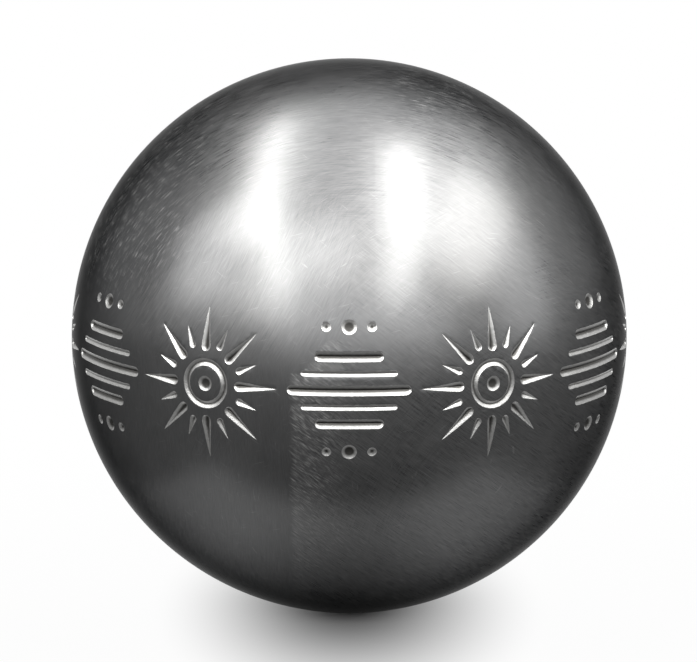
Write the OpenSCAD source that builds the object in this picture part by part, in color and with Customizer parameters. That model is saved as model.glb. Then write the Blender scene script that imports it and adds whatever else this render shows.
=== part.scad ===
// Hollow steel boule for petanque: two half shells joined by a butt weld that is dressed flush
// outside, with an engraved belt of sun rosettes and sets of bars.
// The origin is the centre of the ball. The belt runs round +Z, and the weld runs round +X.

/* [Boule] */
// Diameter of the finished boule
boule_d = 74; // [70.5:0.1:80]
// Thickness of the steel wall
wall_t = 6.1; // [4:0.1:9]

/* [Weld] */
// Space between the two half shells at the root of the weld
root_gap = 1.2; // [0.6:0.1:2]
// Height of the square edge left under the bevel of each half shell
root_land = 1.2; // [0.5:0.1:2]
// Angle between the two bevels
bevel_angle = 60; // [40:5:90]
// Width of the bead that stands inside the boule
root_bead_w = 3.6; // [3:0.1:5]
// Height of the bead that stands inside the boule
root_bead_h = 0.8; // [0.4:0.1:1.2]

/* [Engraving tool] */
// Angle between the two flanks of every engraved cut
cutter_angle = 120; // [90:5:130]

/* [Rosettes] */
// Number of sun rosettes round the belt, with a set of bars between each two
motifs = 6; // [3:1:6]
// Number of rays of a rosette, long and short by turns
rays = 16; // [8:2:16]
// Reach of the long rays from the centre of the rosette
long_ray_r = 10; // [8.5:0.1:10.2]
// Reach of the short rays
short_ray_r = 7.8; // [6.8:0.1:8.4]
// Radius at which the long rays are widest and deepest
long_ray_root_r = 4.9; // [4.6:0.1:5.4]
// Radius at which the short rays are widest and deepest
short_ray_root_r = 5.3; // [4.8:0.1:5.8]
// Width of a long ray at its root
long_ray_w = 1.3; // [0.9:0.05:1.4]
// Width of a short ray at its root
short_ray_w = 0.9; // [0.5:0.05:1]
// Length of the ramp by which the tool runs out at a root
ray_ramp = 0.7; // [0.4:0.1:1]
// Radius of the ring round the hub
hub_ring_r = 2.8; // [2.4:0.1:3.1]
// Width of the ring round the hub
hub_ring_w = 0.9; // [0.5:0.05:1]
// Radius of the punched pit in the middle of the hub
hub_pit_r = 1; // [0.5:0.05:1.3]

/* [Bars] */
// Length of the middle bar of a set
bar_l = 16; // [10:0.5:16.5]
// Width of the broad bars
bar_w = 1.3; // [0.9:0.05:1.5]
// Width of the fine bars between the broad ones
fine_bar_w = 0.7; // [0.4:0.05:1]
// Distance from one bar to the next, up the ball
bar_pitch = 2.2; // [1.9:0.1:2.5]
// Amount by which each bar is shorter than the one nearer the middle, at each end
bar_step = 1.8; // [0.5:0.1:2]
// Number of bars above the middle one, and below it
bar_rows = 2; // [1:1:2]
// Radius of the middle one of the three punched pits above and below the bars
pip_r = 1; // [0.6:0.05:1.2]
// Radius of the outer two
small_pip_r = 0.6; // [0.4:0.05:0.8]
// Distance from the middle pit to an outer one
pip_step = 3; // [2.3:0.1:3.6]
// Distance of these pits from the middle of the belt
pip_rise = 8.2; // [7.6:0.1:9]

/* [Hidden] */
$fn = 96;
// Overrun of every cut past the surface that it opens
overrun = 0.5;
ball_r = boule_d / 2;
cavity_r = ball_r - wall_t;
half_gap = root_gap / 2;
flank = tan(cutter_angle / 2);
bevel = tan(bevel_angle / 2);

// Angle at the ball's centre of a distance along its surface
function arc(s) = s / ball_r * 180 / PI;
// Point on the surface at a distance s from the top of the ball, towards +X
function on_arc(s) = [ball_r * sin(arc(s)), 0, ball_r * cos(arc(s))];
// Point that lies past b by the overrun, on the line from a
function past(a, b) = b + (b - a) * overrun / norm(b - a);
// Depth of a cut of width w
function cut_depth(w) = w / 2 / flank;
// Half width of the weld groove at a radius r from the ball's centre
function groove_half_w(r) = half_gap + max(0, r - cavity_r - root_land) * bevel;

// Turns a cut drawn at the top of the ball, with its length along X, to a place on the belt.
// The longitude starts at the front, -Y, and grows towards +X.
module on_belt(longitude, latitude = 0) {
    rotate([90 - latitude, 0, longitude]) children();
}

// Cut of a straight pass of the engraving tool, deepest at the top of the ball.
// Its two ends run out to nothing at the distances back and ahead.
module chip_cut(back, ahead, w) {
    deepest = [0, 0, ball_r - cut_depth(w)];
    // The two faces over the cut clear the ball, which the line from its end at this height touches
    top = ball_r / cos(arc(max(back, ahead))) + overrun;
    side = (top - deepest.z) * flank;
    polyhedron(
        points = [
            past(deepest, on_arc(-back)),
            past(deepest, on_arc(ahead)),
            deepest,
            [0, side, top],
            [0, -side, top]
        ],
        faces = [[0, 3, 2], [2, 3, 1], [1, 4, 2], [2, 4, 0], [0, 4, 3], [1, 3, 4]]
    );
}

// Cut of even depth, turned round the top of the ball at a distance r from it.
// An angle under a full turn starts at +X, and its ends are square.
module turned_cut(r, w, angle = 360) {
    depth = cut_depth(w);
    side = (depth + overrun) * flank;
    out = [sin(arc(r)), cos(arc(r))];
    along = [cos(arc(r)), -sin(arc(r))];
    rotate_extrude(angle = angle)
        polygon([
            (ball_r - depth) * out,
            (ball_r + overrun) * out + side * along,
            (ball_r + overrun) * out - side * along
        ]);
}

// Punched pit at the top of the ball
module pit_cut(r) {
    depth = r / flank;
    translate([0, 0, ball_r - depth])
        cylinder(h = depth + overrun, r1 = 0, r2 = (depth + overrun) * flank);
}

// One ray of a rosette: the tool runs in at the root and thins out towards the tip
module ray_cut(root_r, tip_r, w) {
    rotate([0, arc(root_r), 0]) chip_cut(ray_ramp, tip_r - root_r, w);
}

module rosette_cuts() {
    pit_cut(hub_pit_r);
    turned_cut(hub_ring_r, hub_ring_w);
    for (i = [0 : rays - 1]) {
        long = i % 2 == 0;
        rotate([0, 0, i * 360 / rays])
            ray_cut(
                long ? long_ray_root_r : short_ray_root_r,
                long ? long_ray_r : short_ray_r,
                long ? long_ray_w : short_ray_w
            );
    }
}

// Bar of length l along the belt, a distance rise above its middle
module bar_cut(longitude, rise, l, w) {
    angle = arc(l) / cos(arc(rise));
    rotate([0, 0, longitude - 90 - angle / 2])
        turned_cut(ball_r * PI / 2 - rise, w, angle);
}

// Set of bars about one longitude, broad and fine by turns, with three pits above and below
module bar_set_cuts(longitude) {
    for (row = [-bar_rows : bar_rows]) {
        bar_cut(
            longitude,
            row * bar_pitch,
            bar_l - 2 * abs(row) * bar_step,
            row % 2 == 0 ? bar_w : fine_bar_w
        );
    }
    for (end = [-1, 1], place = [-1, 0, 1]) {
        on_belt(longitude + arc(place * pip_step), arc(end * pip_rise))
            pit_cut(place == 0 ? pip_r : small_pip_r);
    }
}

// Cuts at the given places of the belt. Place 0 is the front and the place motifs is the back.
// Even places have bars, and odd places have rosettes.
module belt_cuts(places) {
    for (place = places) {
        longitude = place * 180 / motifs;
        if (place % 2 == 0) {
            bar_set_cuts(longitude);
        } else {
            on_belt(longitude) rosette_cuts();
        }
    }
}

// Half section of the weld groove, from a radius from_r out, with the radius along X
module groove_section(from_r) {
    knee_r = cavity_r + root_land;
    out_r = ball_r + overrun;
    polygon([
        [from_r, -half_gap],
        [knee_r, -half_gap],
        [out_r, -groove_half_w(out_r)],
        [out_r, groove_half_w(out_r)],
        [knee_r, half_gap],
        [from_r, half_gap]
    ]);
}

// Half section of the bead that the weld leaves inside, with its face bulging into the cavity
module root_bead_section() {
    face_r = (pow(root_bead_w / 2, 2) + pow(root_bead_h, 2)) / (2 * root_bead_h);
    intersection() {
        circle(r = cavity_r);
        translate([cavity_r - root_bead_h + face_r, 0]) circle(r = face_r);
    }
}

// Half shell on the side of +X, turned about X, with its edge bevelled for the weld
module bare_half_shell() {
    rotate([0, 90, 0]) rotate_extrude() intersection() {
        square(boule_d);
        difference() {
            circle(r = ball_r);
            circle(r = cavity_r);
            groove_section(0);
        }
    }
}

module half_shell() {
    difference() {
        bare_half_shell();
        belt_cuts([0 : motifs]);
    }
}

module left_half_shell() {
    color("#8a8b8d") mirror([1, 0, 0]) half_shell();
}

module right_half_shell() {
    color("#8a8b8d") half_shell();
}

module weld_bead() {
    color("#77787b") difference() {
        rotate([0, 90, 0]) rotate_extrude() intersection() {
            circle(r = ball_r);
            union() {
                groove_section(cavity_r - root_bead_h / 2);
                root_bead_section();
            }
        }
        belt_cuts([0, motifs]);
    }
}

left_half_shell();
right_half_shell();
weld_bead();
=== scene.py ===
import math

import bmesh
import bpy
from bpy.props import FloatProperty, FloatVectorProperty, IntProperty, PointerProperty
from mathutils import Matrix, Vector


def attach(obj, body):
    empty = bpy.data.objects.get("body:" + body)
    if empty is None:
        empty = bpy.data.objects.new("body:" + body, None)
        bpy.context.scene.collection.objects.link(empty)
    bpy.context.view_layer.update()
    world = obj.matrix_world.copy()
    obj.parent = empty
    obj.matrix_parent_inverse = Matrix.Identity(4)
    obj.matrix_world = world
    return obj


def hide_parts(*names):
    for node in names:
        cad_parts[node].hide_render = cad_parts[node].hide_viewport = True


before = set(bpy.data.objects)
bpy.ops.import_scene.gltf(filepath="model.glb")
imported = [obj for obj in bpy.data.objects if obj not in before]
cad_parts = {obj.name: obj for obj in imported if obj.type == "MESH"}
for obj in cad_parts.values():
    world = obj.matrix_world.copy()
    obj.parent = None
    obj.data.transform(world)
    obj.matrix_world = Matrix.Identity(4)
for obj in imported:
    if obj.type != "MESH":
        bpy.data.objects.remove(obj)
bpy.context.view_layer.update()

bl_info = {
    "name": "Petanque Boule",
    "version": (1, 0, 0),
    "blender": (4, 5, 0),
    "location": "3D View > Sidebar > Boule",
    "description": "Models a welded steel boule with an engraved belt, and the studio it stands in",
    "category": "Mesh",
}

CENTRE = Vector((0, 0, 0))
X, Y, Z = Vector((1, 0, 0)), Vector((0, 1, 0)), Vector((0, 0, 1))
# The photograph's frame, in pixels, and the camera's sensor, in millimetres
PHOTO_W, PHOTO_H = 697, 662
SENSOR_W = 36
# Corners nearer to each other than this are one corner
MERGE = 1e-7
# Steps of the curves in the sections, and of the cuts that go round
CAVITY_STEPS, WELD_STEPS = 24, 12
RING_STEPS, PIT_SIDES = 64, 32
# Faces deeper under the outside than this have the raw finish
RAW_DEPTH = 0.0012
SMOOTH_ANGLE = math.radians(16)


def length(name, default, description):
    return FloatProperty(
        name=name, description=description, default=default, min=0, subtype="DISTANCE", precision=5
    )


def angle(name, default, description):
    return FloatProperty(
        name=name, description=description, default=math.radians(default), subtype="ANGLE"
    )


def share(name, default, description):
    return FloatProperty(
        name=name, description=description, default=default, min=0, max=1, subtype="FACTOR"
    )


def colour(name, default, description):
    return FloatVectorProperty(
        name=name, description=description, default=default, min=0, max=1, size=3, subtype="COLOR"
    )


def number(name, default, description):
    return FloatProperty(name=name, description=description, default=default)


def count(name, default, low, high, description):
    return IntProperty(name=name, description=description, default=default, min=low, max=high)


class BOULE_PG_body(bpy.types.PropertyGroup):
    """Sizes of the two half shells and the weld between them"""

    diameter: length("Diameter", 0.074, "Diameter of the finished boule")
    wall: length("Wall", 0.0061, "Thickness of the steel wall")
    root_gap: length("Root Gap", 0.0012, "Space between the half shells at the root of the weld")
    root_land: length("Root Land", 0.0012, "Height of the square edge left under each bevel")
    bevel_angle: angle("Bevel Angle", 60, "Angle between the two bevels")
    bead_width: length("Bead Width", 0.0036, "Width of the bead that stands inside the boule")
    bead_height: length("Bead Height", 0.0008, "Height of the bead that stands inside the boule")
    segments: count("Segments", 360, 48, 480, "Flats in one turn round the boule")


class BOULE_PG_belt(bpy.types.PropertyGroup):
    """Sizes of the engraved belt"""

    tool_angle: angle("Tool Angle", 120, "Angle between the two flanks of every cut")
    lip_angle: angle("Lip Angle", 150, "Angle of the light pass that breaks the edges of a cut")
    lip: length("Lip", 0.00004, "Width of the broken edge on each side of a cut")
    motifs: count("Motifs", 6, 3, 6, "Number of rosettes, and of sets of bars between them")
    rays: count("Rays", 16, 8, 16, "Rays of a rosette, long and short by turns")
    long_ray: length("Long Ray", 0.010, "Reach of the long rays from the centre of the rosette")
    short_ray: length("Short Ray", 0.0078, "Reach of the short rays")
    long_root: length("Long Root", 0.0049, "Radius at which the long rays are widest")
    short_root: length("Short Root", 0.0053, "Radius at which the short rays are widest")
    long_width: length("Long Ray Width", 0.0013, "Width of a long ray at its root")
    short_width: length("Short Ray Width", 0.0009, "Width of a short ray at its root")
    ring: length("Hub Ring", 0.0028, "Radius of the ring round the hub")
    ring_width: length("Hub Ring Width", 0.0009, "Width of the ring round the hub")
    hub: length("Hub Pit", 0.001, "Radius of the pit in the middle of the hub")
    bar: length("Bar", 0.016, "Length of the middle bar of a set")
    bar_width: length("Bar Width", 0.0013, "Width of the broad bars")
    fine_width: length("Fine Bar Width", 0.0007, "Width of the fine bars")
    pitch: length("Bar Pitch", 0.0022, "Distance from one bar to the next")
    step: length("Bar Step", 0.0018, "Shortening of each bar at each end, going outwards")
    pit: length("Pit", 0.001, "Radius of the middle pit above and below the bars")
    small_pit: length("Small Pit", 0.0006, "Radius of the outer two pits")
    pit_step: length("Pit Step", 0.003, "Distance from the middle pit to an outer one")
    pit_rise: length("Pit Rise", 0.0082, "Distance of the pits from the middle of the belt")


class BOULE_PG_finish(bpy.types.PropertyGroup):
    """Colours and polish of the steel"""

    steel: colour("Satin Steel", (0.038, 0.039, 0.0405), "Colour of the outside in its scratches")
    bright: colour("Bright Steel", (0.164, 0.164, 0.164), "Colour of the outside where rubbed")
    edge: share("Edge Tint", 0.25, "Share of light that the steel keeps where it is seen edge on")
    steel_rough: share("Satin Roughness", 0.31, "Roughness of the outside between its scratches")
    cut: colour("Cut Steel", (0.29, 0.289, 0.284), "Colour of the cuts near their edges")
    # Painted shade: the colour that the cuts darken to towards their bottom
    cut_shade: colour("Cut Shade", (0.04, 0.039, 0.037), "Colour of the dirt down in the engraving")
    cut_shade_depth: length("Grime Depth", 0.0003, "Depth at which the engraving is dark all over")
    cut_rough: share("Cut Roughness", 0.34, "Roughness of the flanks of a cut")
    scale: colour("Scaled Steel", (0.09, 0.085, 0.08), "Colour of the unpolished steel inside")
    band: length("Dressed Band", 0.0073, "Half width of the band that was dressed after welding")
    hairline: length("Hairline", 0.00007, "Distance from one hairline scratch to the next")
    hairline_run: length("Hairline Run", 0.0023, "Length of a hairline scratch")


class BOULE_PG_studio(bpy.types.PropertyGroup):
    """Camera, floor and light"""

    distance: length("Camera Distance", 0.8, "Distance from the camera to the middle of the boule")
    elevation: angle("Camera Elevation", 11, "Height of the camera over the horizon")
    radius_px: number("Radius in Pixels", 277.5, "Radius of the boule in the picture")
    across_px: number("Across", 349.2, "Middle of the boule from the left, in pixels")
    down_px: number("Down", 335.7, "Middle of the boule from the top, in pixels")
    floor: length("Floor", 3, "Radius of the floor")
    floor_colour: colour("Floor Colour", (0.5, 0.5, 0.5), "Colour of the floor")
    room: share("Room Light", 0.3, "Strength of the light that comes from all round")


# Modelling by hand: what every piece is drawn and finished with


def leave_edit():
    if bpy.context.mode != "OBJECT":
        bpy.ops.object.mode_set(mode="OBJECT")
    bpy.ops.object.select_all(action="DESELECT")


def take(*things):
    """Selects these objects and nothing else, the last one active"""
    leave_edit()
    for thing in things:
        thing.select_set(True)
        bpy.context.view_layer.objects.active = thing
    return things[-1]


def pick_faces(test):
    """Selects, in edit mode, the faces whose middle passes a test"""
    bpy.ops.mesh.select_mode(type="FACE")
    bpy.ops.mesh.select_all(action="DESELECT")
    mesh = bpy.context.edit_object.data
    body = bmesh.from_edit_mesh(mesh)
    for face in body.faces:
        face.select_set(test(face))
    bmesh.update_edit_mesh(mesh)


def draw(name, points, closed=True):
    """Draws an outline from corner to corner and leaves it selected, in edit mode"""
    leave_edit()
    # The plane is merged into the first corner
    bpy.ops.mesh.primitive_plane_add(size=0.001)
    outline = bpy.context.object
    outline.name = outline.data.name = name
    bpy.ops.object.mode_set(mode="EDIT")
    bpy.ops.mesh.select_mode(type="VERT")
    bpy.ops.mesh.select_all(action="SELECT")
    bpy.ops.mesh.merge(type="CENTER")
    bpy.ops.transform.translate(value=points[0])
    ends = points[1:] + (points[:1] if closed else [])
    for here, there in zip(points, ends):
        bpy.ops.mesh.extrude_vertices_move(TRANSFORM_OT_translate={"value": there - here})
    bpy.ops.mesh.select_all(action="SELECT")
    bpy.ops.mesh.remove_doubles(threshold=MERGE)
    bpy.ops.mesh.select_all(action="SELECT")
    return outline


def close_up():
    """Merges what touches and turns the faces outwards"""
    if bpy.context.mode == "OBJECT":
        bpy.ops.object.mode_set(mode="EDIT")
    bpy.ops.mesh.select_all(action="SELECT")
    bpy.ops.mesh.remove_doubles(threshold=MERGE)
    bpy.ops.mesh.select_all(action="SELECT")
    bpy.ops.mesh.normals_make_consistent(inside=False)
    bpy.ops.object.mode_set(mode="OBJECT")


def check_closed(piece):
    body = bmesh.new()
    body.from_mesh(piece.data)
    loose = sum(len(edge.link_faces) != 2 for edge in body.edges)
    volume = body.calc_volume(signed=True)
    body.free()
    if loose or volume <= 0:
        raise RuntimeError(f"{piece.name} has {loose} open edges and a volume of {volume}")


def spin(turn, axis, steps):
    """Turns what is selected about an axis of the boule. Blender counts the angle clockwise."""
    bpy.ops.mesh.spin(steps=steps, angle=-turn, center=CENTRE, axis=axis)


def apply(piece, kind, **settings):
    take(piece)
    modifier = piece.modifiers.new(kind, kind)
    for name, value in settings.items():
        setattr(modifier, name, value)
    bpy.ops.object.modifier_apply(modifier=modifier.name)


def copy_turned(thing, *turns):
    """Copies an object with its own mesh and turns the copy about the centre of the boule"""
    take(thing)
    bpy.ops.object.duplicate()
    copy = bpy.context.object
    for turn in turns:
        copy.matrix_world = turn @ copy.matrix_world
    bpy.ops.object.transform_apply(location=True, rotation=True, scale=True)
    return copy


def join(name, things):
    whole = take(*things)
    if len(things) > 1:
        bpy.ops.object.join()
    whole.name = whole.data.name = name
    return whole


def drop(*things):
    take(*things)
    bpy.ops.object.delete()


def turn_y(value):
    return Matrix.Rotation(value, 4, "Y")


def turn_z(value):
    return Matrix.Rotation(value, 4, "Z")


# The body of the boule


class Body:
    """Radii and weld groove worked out from the sizes"""

    def __init__(self, sizes):
        self.out_r = sizes.diameter / 2
        self.in_r = self.out_r - sizes.wall
        self.gap = sizes.root_gap / 2
        self.knee_r = self.in_r + sizes.root_land
        bevel = math.tan(sizes.bevel_angle / 2)
        # Where the bevel, a straight line, meets the outside
        start = self.gap - self.knee_r * bevel
        a, b, c = 1 + bevel ** 2, 2 * start * bevel, start ** 2 - self.out_r ** 2
        groove_r = (-b + math.sqrt(b * b - 4 * a * c)) / (2 * a)
        self.groove = start + groove_r * bevel


def arc(radius, x_from, x_to, steps):
    """Points on a circle about the centre, between two places along X"""
    first, last = math.acos(x_from / radius), math.acos(x_to / radius)
    turns = [first + (last - first) * i / steps for i in range(steps + 1)]
    return [Vector((radius * math.cos(t), 0, radius * math.sin(t))) for t in turns]


def shell_section(body, segments):
    """Section of the right half shell over the X axis, from the cavity to the outside"""
    points = arc(body.in_r, body.in_r, body.gap, CAVITY_STEPS)
    points.append(Vector((body.gap, 0, body.knee_r)))
    return points + arc(body.out_r, body.groove, body.out_r, segments // 4)


def weld_section(body, sizes):
    """Section of the weld over the X axis, with the bead that bulges into the cavity"""
    half, high = sizes.bead_width / 2, sizes.bead_height
    face_r = (half ** 2 + high ** 2) / (2 * high)
    middle = body.in_r - high + face_r
    edge = math.asin(half / face_r)
    root = math.sqrt(body.in_r ** 2 - body.gap ** 2)
    points = arc(body.out_r, -body.groove, body.groove, WELD_STEPS)
    points += [Vector((body.gap, 0, body.knee_r)), Vector((body.gap, 0, root))]
    for i in range(WELD_STEPS + 1):
        turn = edge - 2 * edge * i / WELD_STEPS
        points.append(Vector((face_r * math.sin(turn), 0, middle - face_r * math.cos(turn))))
    return points + [Vector((-body.gap, 0, root)), Vector((-body.gap, 0, body.knee_r))]


def turned_body(name, points, segments, closed=True):
    """Draws a section over the X axis and turns it all the way round"""
    piece = draw(name, points, closed)
    bpy.ops.object.mode_set(mode="OBJECT")
    apply(
        piece,
        "SCREW",
        axis="X",
        angle=math.tau,
        steps=segments,
        render_steps=segments,
        use_merge_vertices=True,
        merge_threshold=MERGE,
        use_smooth_shade=False,
    )
    close_up()
    check_closed(piece)
    return piece


# The engraving tool and its passes

# Height over the ball to which a cutter reaches, for the cuts and for the pass along their edges
CUT_CLEAR, LIP_CLEAR = 0.0003, 0.00004
# A pass starts and ends with the tool just off the surface: a share of the width, under nothing
LIFTED = -0.02
# Stations of a round end, as shares of half the width
ROUND_END = (0.06, 0.2, 0.4, 0.66, 1)
# Stations of a ray from its full width to its tip, as shares of the way, and how it thins
THINNING, THINNING_POWER = (0.2, 0.4, 0.6, 0.8, 0.92), 0.9
# Distance from one station of a bar to the next, and the least number of steps
BAR_STEP, BAR_STEPS = 0.0011, 4
# The tip is a little round, so that a pit is flat at this share of its pointed depth
PIT_FLAT = 0.93
# Bars above the middle one of a set, and below it
BAR_ROWS = 2


def round_end(width):
    """Stations of a round end, as distances from it"""
    half = width / 2
    return [(s * half, width * math.sqrt(1 - (1 - s) ** 2)) for s in ROUND_END]


class Tool:
    """A pointed tool. It cuts to the width that it is asked for, so its angle sets the depth."""

    def __init__(self, ball_r, point_angle, spread, clear, finish):
        self.ball_r = ball_r
        self.flank = math.tan(point_angle / 2)
        self.spread = spread
        self.clear = clear
        self.finish = finish

    def height(self, width):
        return width / 2 / self.flank + self.clear

    def section(self, out, along, width):
        top = out * (self.ball_r + self.clear)
        side = along * self.height(width) * self.flank
        return [top - out * self.height(width), top + side, top - side]

    def finished(self, cutter):
        close_up()
        check_closed(cutter)
        cutter.data.materials.append(self.finish)
        return cutter

    def stroke(self, name, out, along, axis, stations):
        """One pass. The tool turns about an axis of the ball from station to station. Each
        station is a distance along the surface and the width cut there."""
        distance, width = stations[0]
        cutter = draw(name, self.section(out, along, width))
        bpy.ops.mesh.edge_face_add()
        reach = (out - axis * out.dot(axis)).length * self.ball_r
        turned = 0
        for next_distance, next_width in stations[1:]:
            turn = (next_distance - distance) / reach
            turned += turn
            spin(turn, axis, 1)
            scale = self.height(next_width) / self.height(width)
            middle = Matrix.Rotation(turned, 3, axis) @ out * (self.ball_r + self.clear)
            bpy.ops.transform.resize(value=(scale,) * 3, center_override=middle)
            distance, width = next_distance, next_width
        return self.finished(cutter)

    def ring(self, name, radius, width):
        """One pass all round the top of the ball"""
        lean = radius / self.ball_r
        out = Vector((math.sin(lean), 0, math.cos(lean)))
        along = Vector((math.cos(lean), 0, -math.sin(lean)))
        cutter = draw(name, self.section(out, along, width + 2 * self.spread))
        spin(math.tau, Z, RING_STEPS)
        return self.finished(cutter)

    def pit(self, name, radius):
        """A pit at the top of the ball"""
        leave_edit()
        depth = self.height(2 * (radius + self.spread))
        top = self.ball_r + self.clear
        bpy.ops.mesh.primitive_cone_add(
            vertices=PIT_SIDES,
            radius1=0,
            radius2=depth * self.flank,
            depth=depth,
            location=(0, 0, top - depth / 2),
        )
        cutter = bpy.context.object
        cutter.name = cutter.data.name = name
        bpy.ops.object.transform_apply(location=True, rotation=True, scale=True)
        bpy.ops.object.mode_set(mode="EDIT")
        bpy.ops.mesh.select_all(action="SELECT")
        level = top - depth * PIT_FLAT
        bpy.ops.mesh.bisect(plane_co=(0, 0, level), plane_no=Z, use_fill=True, clear_inner=True)
        return self.finished(cutter)

    def bar(self, name, rise, bar_length, width):
        """A bar of even width about the longitude of +X, with round ends"""
        lean = rise / self.ball_r
        out = Vector((math.cos(lean), 0, math.sin(lean)))
        along = Vector((-math.sin(lean), 0, math.cos(lean)))
        bar_length += 2 * self.spread
        width += 2 * self.spread
        lifted = width * LIFTED
        ends = round_end(width)
        steps = max(BAR_STEPS, round(bar_length / BAR_STEP))
        first, last = ends[-1][0], bar_length - ends[-1][0]
        stations = [(0, lifted), *ends]
        stations += [(first + (last - first) * i / steps, width) for i in range(1, steps)]
        stations += [(bar_length - d, w) for d, w in reversed(ends)] + [(bar_length, lifted)]
        cutter = self.stroke(name, out, along, Z, stations)
        middle = bar_length / 2 / (math.cos(lean) * self.ball_r)
        turned = copy_turned(cutter, turn_z(-middle))
        drop(cutter)
        return turned

    def ray(self, name, root, tip, width):
        """A ray from the top of the ball towards +X: a round root that thins out to its tip"""
        start = root - width / 2 - self.spread
        tip += self.spread
        width += 2 * self.spread
        lifted = width * LIFTED
        stations = [(0, lifted), *round_end(width)]
        run, full = tip - start, stations[-1][0]
        stations += [(full + (run - full) * s, width * (1 - s) ** THINNING_POWER) for s in THINNING]
        stations.append((run, lifted))
        cutter = self.stroke(name, Z, Y, Y, stations)
        turned = copy_turned(cutter, turn_y(start / self.ball_r))
        drop(cutter)
        return turned


def rosette_cutter(tool, belt):
    """Sun rosette at the top of the ball"""
    parts = [tool.pit("hub", belt.hub), tool.ring("hub ring", belt.ring, belt.ring_width)]
    long_ray = tool.ray("long ray", belt.long_root, belt.long_ray, belt.long_width)
    short_ray = tool.ray("short ray", belt.short_root, belt.short_ray, belt.short_width)
    for i in range(belt.rays):
        ray = short_ray if i % 2 else long_ray
        parts.append(copy_turned(ray, turn_z(i * math.tau / belt.rays)))
    drop(long_ray, short_ray)
    return join("rosette", parts)


def bar_set_cutter(tool, belt):
    """Five bars, broad and fine by turns, and three pits above and below them, about +X"""
    parts = []
    for row in range(-BAR_ROWS, BAR_ROWS + 1):
        width = belt.fine_width if row % 2 else belt.bar_width
        parts.append(tool.bar("bar", row * belt.pitch, belt.bar - 2 * abs(row) * belt.step, width))
    for end in (-1, 1):
        for place in (-1, 0, 1):
            pit = tool.pit("pit", belt.small_pit if place else belt.pit)
            down = math.pi / 2 - end * belt.pit_rise / tool.ball_r
            aside = place * belt.pit_step / tool.ball_r
            parts.append(copy_turned(pit, turn_y(down), turn_z(aside)))
            drop(pit)
    return join("bar set", parts)


def belt_cutter(tool, belt, places):
    """Cutters of the given places of the belt. Place 0 is the front, and the places go to +X."""
    rosette = rosette_cutter(tool, belt)
    bars = bar_set_cutter(tool, belt)
    parts = []
    for place in places:
        longitude = turn_z(place * math.pi / belt.motifs - math.pi / 2)
        if place % 2:
            parts.append(copy_turned(rosette, turn_y(math.pi / 2), longitude))
        else:
            parts.append(copy_turned(bars, longitude))
    drop(rosette, bars)
    return join("belt", parts)


def engrave(piece, belt, ball_r, places, finishes):
    """Cuts the belt, then breaks its edges with a light pass of a blunter tool"""
    tools = (
        Tool(ball_r, belt.tool_angle, 0, CUT_CLEAR, finishes["cut"]),
        Tool(ball_r, belt.lip_angle, belt.lip, LIP_CLEAR, finishes["lip"]),
    )
    for tool in tools:
        cutter = belt_cutter(tool, belt, places)
        before = len(piece.data.polygons)
        apply(
            piece,
            "BOOLEAN",
            operation="DIFFERENCE",
            solver="MANIFOLD",
            material_mode="TRANSFER",
            object=cutter,
        )
        if len(piece.data.polygons) == before:
            raise RuntimeError(f"the belt wasn't cut into {piece.name}")
        drop(cutter)


def dress(piece, body, finishes, node):
    """Gives the inside and the weld bevels their raw finish, and smooths the shading"""
    take(piece)
    piece.data.materials.append(finishes["scale"])
    bpy.ops.object.mode_set(mode="EDIT")
    raw_r = body.out_r - RAW_DEPTH
    pick_faces(lambda face: face.material_index == 0 and face.calc_center_median().length < raw_r)
    piece.active_material_index = len(piece.data.materials) - 1
    bpy.ops.object.material_slot_assign()
    bpy.ops.object.mode_set(mode="OBJECT")
    bpy.ops.object.shade_smooth_by_angle(angle=SMOOTH_ANGLE)
    check_closed(piece)
    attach(piece, "root")
    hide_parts(node)


# Finishes

FINISHES = {
    "satin": "satin steel",
    "cut": "cut steel",
    "lip": "burnished lip",
    "scale": "scaled steel",
}
# Axes that the boule turned about while it was ground. The hairlines run round them.
LEFT_GRIND = (0.87, 0.15, -0.48)
LOW_LEFT_GRIND = (1, 0.1, 0.12)
RIGHT_GRIND = (0.6, 0.12, 0.8)
TOP_GRIND = (0.03, -0.99, -0.11)
CROSS_GRIND = (-0.64, 0.57, 0.51)
# Axes of the deeper scratches, and the shift of the noise that each comes from
SCRATCHES = (
    ((-0.42, 0.85, 0.3), (0.02, 0, 0)),
    ((-0.25, 0.1, 0.96), (0, 0, 0.02)),
    ((0.62, 0.12, 0.78), (0.01, 0.03, 0)),
)
# Size of the chatter in the cuts, sizes of the tool's marks there and the axis that they run
# round, and the depth of both
CHATTER_GRAIN, MARK_GRAIN, MARK_AXIS = 0.0003, (0.0006, 0.0006, 0.00009), (0.3, 0.1, 1)
CUT_RELIEF = 0.00002
# Depth in a cut at which the painted shade starts, and how far that wavers
SHADE_START, SHADE_WAVE = 0.0001, 0.00006
# Size of the worn spots on the lips, and size and thickness of the flakes of scale
WORN_GRAIN = 0.0008
FLAKE_GRAIN, FLAKE_RELIEF = 0.0016, 0.00005


class Amount:
    """A socket that holds a number. Sums, differences and products of it add Math nodes."""

    def __init__(self, nodes, socket):
        self.nodes = nodes
        self.socket = socket

    def math(self, operation, first, second):
        return self.nodes.node("ShaderNodeMath", {"operation": operation}, {0: first, 1: second})

    def __add__(self, other):
        return self.math("ADD", self, other)

    __radd__ = __add__

    def __sub__(self, other):
        return self.math("SUBTRACT", self, other)

    def __rsub__(self, other):
        return self.math("SUBTRACT", other, self)

    def __mul__(self, other):
        return self.math("MULTIPLY", self, other)

    __rmul__ = __mul__

    def between(self, low, high):
        """0 below low, 1 above high, and a soft step between them"""
        return self.nodes.node(
            "ShaderNodeMapRange",
            {"interpolation_type": "SMOOTHSTEP"},
            {"Value": self, "From Min": low, "From Max": high},
        )

    def size(self):
        return self.nodes.node("ShaderNodeMath", {"operation": "ABSOLUTE"}, {0: self})


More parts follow.
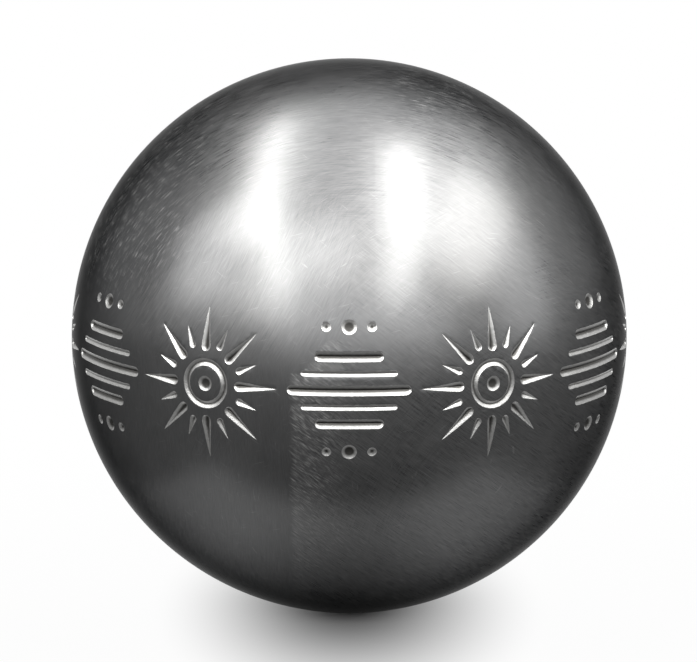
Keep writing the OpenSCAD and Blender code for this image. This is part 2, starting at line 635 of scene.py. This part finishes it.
class Nodes:
    """A node tree, and the one way in which nodes join it"""

    def __init__(self, tree):
        self.tree = tree

    def node(self, kind, settings, values, output=0):
        node = self.tree.nodes.new(kind)
        for name, value in settings.items():
            setattr(node, name, value)
        for name, value in values.items():
            if isinstance(value, Amount):
                self.tree.links.new(value.socket, node.inputs[name])
            else:
                node.inputs[name].default_value = value
        return Amount(self, node.outputs[output])

    def seen(self):
        """1 for rays of the camera, of reflections and through glass, and 0 for all others"""
        camera, glossy, through = (
            self.node("ShaderNodeLightPath", {}, {}, name)
            for name in ("Is Camera Ray", "Is Glossy Ray", "Is Transmission Ray")
        )
        return camera + glossy + through


class Finish(Nodes):
    """A material and what its patterns are made of, all on the piece's own coordinates in metres"""

    def __init__(self, name, **plain):
        self.material = bpy.data.materials.new(name)
        self.material.use_nodes = True
        super().__init__(self.material.node_tree)
        self.shader = self.tree.nodes["Principled BSDF"]
        for socket, value in plain.items():
            self.shader.inputs[socket.replace("_", " ")].default_value = value
        self.place = self.node("ShaderNodeTexCoord", {}, {}, "Object")

    def feed(self, socket, amount):
        self.tree.links.new(amount.socket, self.shader.inputs[socket])

    def noise(self, grain, shift=(0, 0, 0), axis=(0, 0, 1), detail=2, rough=0.5, warp=0):
        """Noise of a grain given in metres: one size, or the sizes along two directions square to
        an axis and along the axis"""
        turn = Vector(axis).to_track_quat("Z", "Y").to_euler()
        scale = grain if isinstance(grain, tuple) else (grain,) * 3
        place = self.node(
            "ShaderNodeMapping",
            {"vector_type": "TEXTURE"},
            {"Vector": self.place, "Location": shift, "Rotation": turn, "Scale": scale},
        )
        return self.node(
            "ShaderNodeTexNoise",
            {},
            {"Vector": place, "Scale": 1, "Detail": detail, "Roughness": rough, "Distortion": warp},
        )

    def along(self, axis):
        """Distance from the middle of the ball along an axis"""
        return self.node(
            "ShaderNodeVectorMath",
            {"operation": "DOT_PRODUCT"},
            {0: self.place, 1: Vector(axis).normalized()},
            "Value",
        )

    def distance(self, shares=(1, 1, 1)):
        """Distance from the middle of the ball, of which a share counts in each direction"""
        place = self.node(
            "ShaderNodeVectorMath", {"operation": "MULTIPLY"}, {0: self.place, 1: shares}
        )
        return self.node("ShaderNodeVectorMath", {"operation": "LENGTH"}, {0: place}, "Value")

    def tint(self, share_of, first, second):
        """Colour between two others, each of them three numbers or a colour worked out before"""
        first, second = (end if isinstance(end, Amount) else (*end, 1) for end in (first, second))
        return self.node(
            "ShaderNodeMix",
            {"data_type": "RGBA"},
            {"Factor": share_of, "A": first, "B": second},
            "Result",
        )

    def bump(self, height, depth):
        bump = self.node("ShaderNodeBump", {}, {"Height": height, "Distance": depth, "Strength": 1})
        self.feed("Normal", bump)


class Satin(Finish):
    """The outside. It was ground and polished by hand on a wheel, so its hairlines change direction
    from place to place. Distances are up, or to the right, from the middle of the boule."""

    # Heights between which the grinding round the top starts, and that of the upper half
    TOP, UPPER = (0.018, 0.026), (0.001, 0.007)
    # Amount by which these and other borders waver, and over what distance
    WAVE, WAVE_GRAIN = 0.012, 0.009
    # The edge of the dressed side: raggedness, half width, and higher up its shift to the right and
    # its share of the wavering
    RAGGED, EDGE_HALF, EDGE_SHIFT, EDGE_WAVE = 0.0016, 0.0004, 0.008, 0.25
    # Strokes along that edge: where they end to the right, and where they start from below
    EDGE_RIGHT, EDGE_FOOT = (-0.006, 0.004), (-0.031, -0.014)
    # The rubbed shoulder, also painted darker as shade: heights where it starts, where it ends to
    # the right at height 0, and how far that end moves to the right for each step up
    SHOULDER, SHOULDER_RIGHT, SHOULDER_LEAN = (0.004, 0.014), (-0.035, -0.028), 0.45
    # The rubbed patch at the top on the right, painted darker as shade with the shoulder: where it
    # starts from below and from the left, and how much it is rubbed and shaded beside the shoulder
    CROWN, CROWN_LEFT, CROWN_SHARE = (0.029, 0.032), (0.002, 0.008), 0.7
    # The coarser lines round the top: heights where they start, and the gap in their middle
    RIM, RIM_MIDDLE, RIM_SIDES = (0.022, 0.029), 0.001, (0.004, 0.013)
    # Shares of the radius between which hairlines fade near their axis
    FADE = (0.8, 0.96)
    # Depth of the hairlines
    DEPTH = 0.0000055
    # Sizes of the patches with more crossing hairlines, and of the stains
    PATCH_GRAIN, STAIN_GRAIN = 0.012, 0.007

    def __init__(self, sizes, body):
        super().__init__(FINISHES["satin"], Metallic=1.0, Specular_Tint=(sizes.edge,) * 3 + (1,))
        self.sizes, self.ball_r = sizes, body.out_r
        self.fine, self.run = sizes.hairline, sizes.hairline_run
        self.across, self.up = self.along(X), self.along(Z)
        self.wave = self.WAVE * (self.noise(self.WAVE_GRAIN) - 0.5)
        self.top, self.upper = self.over(self.TOP), self.over(self.UPPER)
        self.dressed = self.dressed_side()
        self.edge = self.dressed_edge()
        self.shoulder_rubs_and_shade = self.rubs_and_painted_shade()
        self.paint()

    def over(self, heights):
        """1 over two heights, 0 under them, and a wavering soft step between"""
        return (self.up + self.wave).between(*heights)

    def hairlines(self, axis, shift=(0, 0, 0), grain=1.0, detail=2):
        """Lines that run round an axis of the ball, and fade where that axis comes out of it"""
        run, fine = self.run * grain, self.fine * grain
        lines = self.noise((run, run, fine), shift, axis, detail, 0.6) - 0.5
        near, far = (part * self.ball_r for part in self.FADE)
        return lines * (1 - self.along(axis).size().between(near, far))

    def dressed_side(self):
        """The right side was dressed last, over the weld. Its edge is sharp on the lower half."""
        grain = (self.run, self.run, self.fine * 3)
        ragged = self.RAGGED * (self.noise(grain, (0, 0.02, 0.01), RIGHT_GRIND, 1) - 0.5)
        side = self.across + ragged + self.sizes.band - self.EDGE_SHIFT * self.upper
        side = side + self.EDGE_WAVE * self.upper * self.wave
        return side.between(-self.EDGE_HALF, self.EDGE_HALF)

    def dressed_edge(self):
        """The strip along that edge, on the lower half"""
        right = (self.across + self.wave).between(*self.EDGE_RIGHT)
        return self.dressed * (1 - self.upper) * (1 - right) * self.over(self.EDGE_FOOT)

    def rubs_and_painted_shade(self):
        """Shoulder on the left and a bit of the top right: rubbed, with painted shade"""
        lean = self.SHOULDER_LEAN * self.up
        right = (self.across + self.wave - lean).between(*self.SHOULDER_RIGHT)
        crown = self.over(self.CROWN) * self.across.between(*self.CROWN_LEFT)
        return self.over(self.SHOULDER) * (1 - right) + self.CROWN_SHARE * crown

    def grinding(self):
        """Hairlines round the top and down both sides of the weld, and fainter ones across them"""
        left = self.upper * self.hairlines(LEFT_GRIND, (0.01, 0, 0))
        left = left + (1 - self.upper) * 0.6 * self.hairlines(LOW_LEFT_GRIND)
        right = (1.6 - 0.6 * self.upper) * self.hairlines(RIGHT_GRIND, (0, 0.01, 0))
        sides = left + self.dressed * (right - left)
        ends = (self.across - self.RIM_MIDDLE).size().between(*self.RIM_SIDES)
        rim = self.up.between(*self.RIM) * ends
        round_top = 1.2 * self.hairlines(TOP_GRIND, (0, 0, 0.01))
        round_top = round_top + 1.5 * rim * self.hairlines(TOP_GRIND, (0, 0.02, 0), 1.4, 1)
        patch = self.noise(self.PATCH_GRAIN, (0, 0.01, 0), detail=1).between(0.45, 0.6)
        crossing = (0.2 + 0.4 * patch) * self.hairlines(CROSS_GRIND, (0.02, 0, 0.01), 1.2)
        return self.top * round_top + (1 - self.top) * sides + crossing

    def strokes(self):
        """Bright scratches that the last dressing left along its edge, and rubs on the shoulder"""
        run, fine = self.run * 0.5, self.fine * 0.9
        dressing = self.noise((run, run, fine), (0.03, 0, 0), RIGHT_GRIND, 0)
        run = self.run * 0.6
        rubbing = self.noise((run, run, self.fine), (0, 0.01, 0.02), TOP_GRIND, 0)
        return dressing.between(0.55, 0.72) * self.edge + rubbing.between(0.6, 0.84) * self.shoulder_rubs_and_shade

    def scratches(self):
        """Deeper scratches, few and all over"""
        grain = (self.run, self.run, self.fine * 1.3)
        return sum(
            0.5 * self.noise(grain, shift, axis, 0).between(0.79, 0.86) for axis, shift in SCRATCHES
        )

    def paint(self):
        lines, strokes, deep = self.grinding(), self.strokes(), self.scratches()
        stain = self.noise(self.STAIN_GRAIN, (0.01, 0, 0), detail=4, rough=0.6, warp=0.4) - 0.5
        lift = (0.03 + 0.12 * self.edge) * self.dressed * (1 - self.upper)
        # Painted shade: the shoulder is darker
        shade = 0.49 - 0.17 * self.shoulder_rubs_and_shade + 0.6 * lines + 0.14 * stain + 0.5 * deep + lift
        rubbed = self.tint(shade, self.sizes.steel, self.sizes.bright)
        self.feed("Base Color", self.tint(0.5 * strokes, rubbed, self.sizes.cut))
        rough = self.sizes.steel_rough + 0.12 * lines + 0.08 * stain + 0.1 * deep + 0.2 * strokes
        self.feed("Roughness", rough)
        self.bump(lines - 0.7 * deep - 0.5 * strokes, self.DEPTH)


def cut_finish(sizes, body):
    """Fresh steel with the tool's chatter, bright near the edges, with painted shade at the bottom
    """
    cut = Finish(FINISHES["cut"], Metallic=1.0)
    chatter = cut.noise(CHATTER_GRAIN, detail=3, rough=0.6)
    marks = cut.noise(MARK_GRAIN, axis=MARK_AXIS, detail=1)
    out = cut.distance() + SHADE_WAVE * (chatter - 0.5)
    unshaded = out.between(body.out_r - sizes.cut_shade_depth, body.out_r - SHADE_START)
    # Painted shade: the cut's colour darkens with its depth
    cut.feed("Base Color", cut.tint(unshaded * (0.8 + 0.4 * chatter), sizes.cut_shade, sizes.cut))
    cut.feed("Roughness", sizes.cut_rough + 0.12 - 0.12 * unshaded + 0.2 * (chatter - 0.5))
    cut.bump(chatter + 0.6 * marks, CUT_RELIEF)
    return cut


def lip_finish(sizes):
    """The broken edges of the cuts, rubbed bright by use"""
    lip = Finish(FINISHES["lip"], Metallic=1.0)
    worn = lip.noise(WORN_GRAIN)
    shiny = [part * 1.8 for part in sizes.cut]
    lip.feed("Base Color", lip.tint(worn.between(0.35, 0.7), sizes.cut, shiny))
    lip.feed("Roughness", 0.18 + 0.16 * worn)
    return lip


def scale_finish(sizes):
    """Raw steel of the inside, with flakes of scale"""
    scale = Finish(FINISHES["scale"], Metallic=0.6)
    flakes = scale.noise(FLAKE_GRAIN, detail=5, rough=0.65)
    dark = [part * 0.5 for part in sizes.scale]
    scale.feed("Base Color", scale.tint(flakes.between(0.35, 0.65), sizes.scale, dark))
    scale.feed("Roughness", 0.45 + 0.4 * flakes)
    scale.bump(flakes, FLAKE_RELIEF)
    return scale


def make_finishes(sizes, body):
    """The finishes by their short names"""
    made = (Satin(sizes, body), cut_finish(sizes, body), lip_finish(sizes), scale_finish(sizes))
    return {key: finish.material for key, finish in zip(FINISHES, made)}


# The pieces


class BOULE_OT_half_shells(bpy.types.Operator):
    """Turns one half shell, engraves it and mirrors it for the other side"""

    bl_idname = "boule.half_shells"
    bl_label = "Half Shells"
    bl_options = {"REGISTER", "UNDO"}

    def execute(self, context):
        sizes, belt = context.scene.boule_body, context.scene.boule_belt
        body = Body(sizes)
        finishes = make_finishes(context.scene.boule_finish, body)
        section = shell_section(body, sizes.segments)
        # Both ends of the section are on the axis, so it stays open
        right = turned_body("right half shell", section, sizes.segments, closed=False)
        right.data.materials.append(finishes["satin"])
        engrave(right, belt, body.out_r, range(belt.motifs + 1), finishes)
        left = copy_turned(right, Matrix.Scale(-1, 4, X))
        left.name = left.data.name = "left_half"
        close_up()
        right.name = right.data.name = "right_half"
        dress(right, body, finishes, "right_half_shell")
        dress(left, body, finishes, "left_half_shell")
        return {"FINISHED"}


class BOULE_OT_weld_bead(bpy.types.Operator):
    """Turns the weld that joins the half shells, with its bead inside, and engraves it"""

    bl_idname = "boule.weld_bead"
    bl_label = "Weld Bead"
    bl_options = {"REGISTER", "UNDO"}

    def execute(self, context):
        sizes, belt = context.scene.boule_body, context.scene.boule_belt
        body = Body(sizes)
        finishes = {key: bpy.data.materials[name] for key, name in FINISHES.items()}
        weld = turned_body("weld ring", weld_section(body, sizes), sizes.segments)
        weld.data.materials.append(finishes["satin"])
        engrave(weld, belt, body.out_r, (0, belt.motifs), finishes)
        weld.name = weld.data.name = "weld_ring"
        dress(weld, body, finishes, "weld_bead")
        return {"FINISHED"}


# The studio

# Name, place, direction of the long side, width, length, brightness, warmth, and what it lights:
# the floor, the steel by its reflections, or both
LAMPS = (
    ("back panel", (0.05, 0.75, 0.9), (1, 0, 0), 0.9, 1.5, 2.6, 0, "floor"),
    ("overhead panel", (0.21, 0.03, 1.0), (0, 1, 0), 1.3, 1.5, 2.9, 0, "steel"),
    ("front panel", (0.15, -1.7, 0.6), (1, 0, 0), 0.7, 2.7, 2.9, 0, "both"),
    ("left strip", (-0.56, -0.26, 1.008), (-0.085, -0.915, -0.393), 0.17, 1.98, 20.5, 0.03, "steel"),
    ("right strip", (0.396, -0.49, 0.99), (0.407, -1.536, 0.298), 0.225, 1.6, 18, 0.03, "steel"),
    ("left panel", (-0.76, -0.31, 0.92), (-0.2, -0.9, 0), 0.3, 0.5, 7.8, 0.03, "steel"),
    ("low panel", (-0.74, -0.94, 0.51), (0.78, -0.62, 0), 0.32, 0.55, 5.6, 0.03, "steel"),
    ("middle panel", (-0.18, -0.84, 0.84), (0, 1, 1), 0.55, 0.5, 8.2, 0.02, "steel"),
    ("right panel", (0.97, -0.3, 0.93), (0.8, -1.5, 0.3), 0.58, 1.2, 8.6, 0.04, "steel"),
    ("far right panel", (0.95, 0.66, 0.41), (0, 0, 1), 0.55, 0.6, 0.3, 0, "steel"),
    ("far left panel", (-0.95, 0.66, 0.41), (0, 0, 1), 0.55, 0.6, 0.4, 0, "steel"),
    ("right side panel", (1.0, -0.15, 0.38), (0, 0.3, 1), 0.5, 0.7, 2.7, 0, "steel"),
    ("left side panel", (-0.9, -0.32, 0.56), (0, 0.3, 1), 0.5, 0.6, 5.1, 0.01, "steel"),
)
# Corners of the floor, and the nearest and farthest things that the camera sees
FLOOR_SIDES = 96
CLIP_START, CLIP_END = 0.05, 20
# The painted shadow under the boule, where the floor's glowing white gives way to the floor's own
# shadow: its width as a share of its depth, and the half widths between which it fades. The part in
# front, left grey as a painted shadow reaching forward, starts between two places along Y, at the
# picture's lower edge.
SHADOW_WIDTH, SHADOW, FRONT_SHADE = 0.42, (0.001, 0.027), (-0.05, -0.037)
# The picture's field: the half widths between which it fades beside the boule, how much both grow
# for each step back, and how much more the outer one grows between two places behind the boule
FIELD, FIELD_SPREAD, FIELD_FADE, FIELD_BACK = (0.047, 0.054), 0.058, 0.5, (0, 0.15)
# Strength of the white in front, a little dimmer as a painted soft shadow near the boule, and the
# places along Y between which it grows to 1
FRONT_WHITE, FULL_WHITE = 0.97, (-0.03, 0.12)


class BOULE_OT_studio(bpy.types.Operator):
    """Sets the floor, the lamps, the room and the camera"""

    bl_idname = "boule.studio"
    bl_label = "Studio"
    bl_options = {"REGISTER", "UNDO"}

    def execute(self, context):
        studio = context.scene.boule_studio
        ball_r = context.scene.boule_body.diameter / 2
        self.add_floor(studio, ball_r)
        self.add_room(context, studio)
        for lamp in LAMPS:
            self.add_lamp(*lamp)
        self.add_camera(context, studio, ball_r)
        return {"FINISHED"}

    def add_floor(self, studio, ball_r):
        leave_edit()
        bpy.ops.mesh.primitive_circle_add(
            vertices=FLOOR_SIDES, radius=studio.floor, fill_type="NGON", location=(0, 0, -ball_r)
        )
        floor = bpy.context.object
        floor.name = floor.data.name = "floor"
        bpy.ops.object.transform_apply(location=True, rotation=True, scale=True)
        colour_of = (*studio.floor_colour, 1)
        paper = Finish("floor paper", Base_Color=colour_of, Roughness=0.9, Specular_IOR_Level=0.0)
        matt = Amount(paper, paper.shader.outputs[0])
        glow = paper.node("ShaderNodeEmission", {}, {"Strength": 1.0})
        white = paper.seen() * self.white_part(paper)
        mixed = paper.node("ShaderNodeMixShader", {}, {0: white, 1: matt, 2: glow})
        paper.tree.links.new(mixed.socket, paper.tree.nodes["Material Output"].inputs["Surface"])
        floor.data.materials.append(paper.material)

    def white_part(self, paper):
        """The part of the floor that is plain white to the eye and in reflections: all that the
        picture shows, but for the painted shadow under the boule, whose shape this sets over the
        floor's own shadow, and the part in front, left grey as a painted shadow that the boule also
        mirrors"""
        across, back = paper.along(X), paper.along(Y)
        # Painted shadow: the shape in which the glowing white gives way to the floor's own shadow
        past_shadow = paper.distance((1, SHADOW_WIDTH, 0)).between(*SHADOW)
        past_front_shade = back.between(*FRONT_SHADE)
        start, end = FIELD
        beside = across.size() - FIELD_SPREAD * back
        field = 1 - beside.between(start, end + FIELD_FADE * back.between(*FIELD_BACK))
        # Painted soft shadow: the white is a little dimmer in front of the boule
        white = FRONT_WHITE + (1 - FRONT_WHITE) * back.between(*FULL_WHITE)
        return past_shadow * past_front_shade * field * white

    def add_room(self, context, studio):
        """A room that is white to the eye and in reflections, and lights all else softly"""
        world = context.scene.world or bpy.data.worlds.new("room")
        context.scene.world = world
        world.use_nodes = True
        room = Nodes(world.node_tree)
        room.tree.nodes.clear()
        strength = room.node(
            "ShaderNodeMapRange", {}, {"Value": room.seen(), "To Min": studio.room, "To Max": 1}
        )
        walls = room.node("ShaderNodeBackground", {}, {"Color": (1, 1, 1, 1), "Strength": strength})
        end = room.tree.nodes.new("ShaderNodeOutputWorld")
        room.tree.links.new(walls.socket, end.inputs["Surface"])

    def add_lamp(self, name, place, along, width, long, brightness, warmth, lights):
        """A strip or panel over the boule that faces it, its long side turned along a direction"""
        leave_edit()
        bpy.ops.object.light_add(type="AREA", location=place)
        lamp = bpy.context.object
        lamp.name = lamp.data.name = name
        away = Vector(place).normalized()
        side = Vector(along).cross(away).normalized()
        facing = Matrix((side, away.cross(side), away)).transposed().to_4x4()
        lamp.matrix_world = Matrix.Translation(place) @ facing
        lamp.data.shape = "RECTANGLE"
        lamp.data.size, lamp.data.size_y = width, long
        lamp.data.energy = brightness * math.pi * width * long
        lamp.data.color = (1, 1 - warmth / 3, 1 - warmth)
        lamp.visible_camera = False
        lamp.visible_diffuse = lights != "steel"
        lamp.visible_glossy = lights != "floor"

    def add_camera(self, context, studio, ball_r):
        leave_edit()
        up = studio.elevation
        back = Vector((0, -math.cos(up), math.sin(up)))
        top = Vector((0, math.sin(up), math.cos(up)))
        half_angle = math.asin(ball_r / studio.distance)
        focal_px = studio.radius_px / math.tan(half_angle)
        aim = X * (PHOTO_W / 2 - studio.across_px) + top * (studio.down_px - PHOTO_H / 2)
        aim = (aim / focal_px - back).normalized()
        bpy.ops.object.camera_add(location=back * studio.distance)
        camera = bpy.context.object
        camera.name = camera.data.name = "camera"
        camera.rotation_euler = aim.to_track_quat("-Z", "Y").to_euler()
        camera.data.sensor_fit = "HORIZONTAL"
        camera.data.sensor_width = SENSOR_W
        camera.data.lens = focal_px * SENSOR_W / PHOTO_W
        camera.data.clip_start, camera.data.clip_end = CLIP_START, CLIP_END
        context.scene.camera = camera
        context.scene.view_settings.view_transform = "Standard"


class BOULE_PT_panel(bpy.types.Panel):
    """Sizes, finishes and steps of the boule"""

    bl_idname = "BOULE_PT_panel"
    bl_label = "Petanque Boule"
    bl_space_type = "VIEW_3D"
    bl_region_type = "UI"
    bl_category = "Boule"

    def draw(self, context):
        scene = context.scene
        for title, group, step in (
            ("Body", scene.boule_body, "boule.half_shells"),
            ("Belt", scene.boule_belt, "boule.weld_bead"),
            ("Finish", scene.boule_finish, None),
            ("Studio", scene.boule_studio, "boule.studio"),
        ):
            box = self.layout.box()
            box.label(text=title)
            for name in group.__annotations__:
                box.prop(group, name)
            if step:
                box.operator(step)


GROUPS = {
    "boule_body": BOULE_PG_body,
    "boule_belt": BOULE_PG_belt,
    "boule_finish": BOULE_PG_finish,
    "boule_studio": BOULE_PG_studio,
}
STEPS = (BOULE_OT_half_shells, BOULE_OT_weld_bead, BOULE_OT_studio, BOULE_PT_panel)


def register():
    for name, group in GROUPS.items():
        bpy.utils.register_class(group)
        setattr(bpy.types.Scene, name, PointerProperty(type=group))
    for step in STEPS:
        bpy.utils.register_class(step)


def unregister():
    for step in reversed(STEPS):
        bpy.utils.unregister_class(step)
    for name, group in GROUPS.items():
        delattr(bpy.types.Scene, name)
        bpy.utils.unregister_class(group)


def main():
    register()
    bpy.ops.boule.half_shells()
    bpy.ops.boule.weld_bead()
    bpy.ops.boule.studio()


if __name__ == "__main__":
    main()
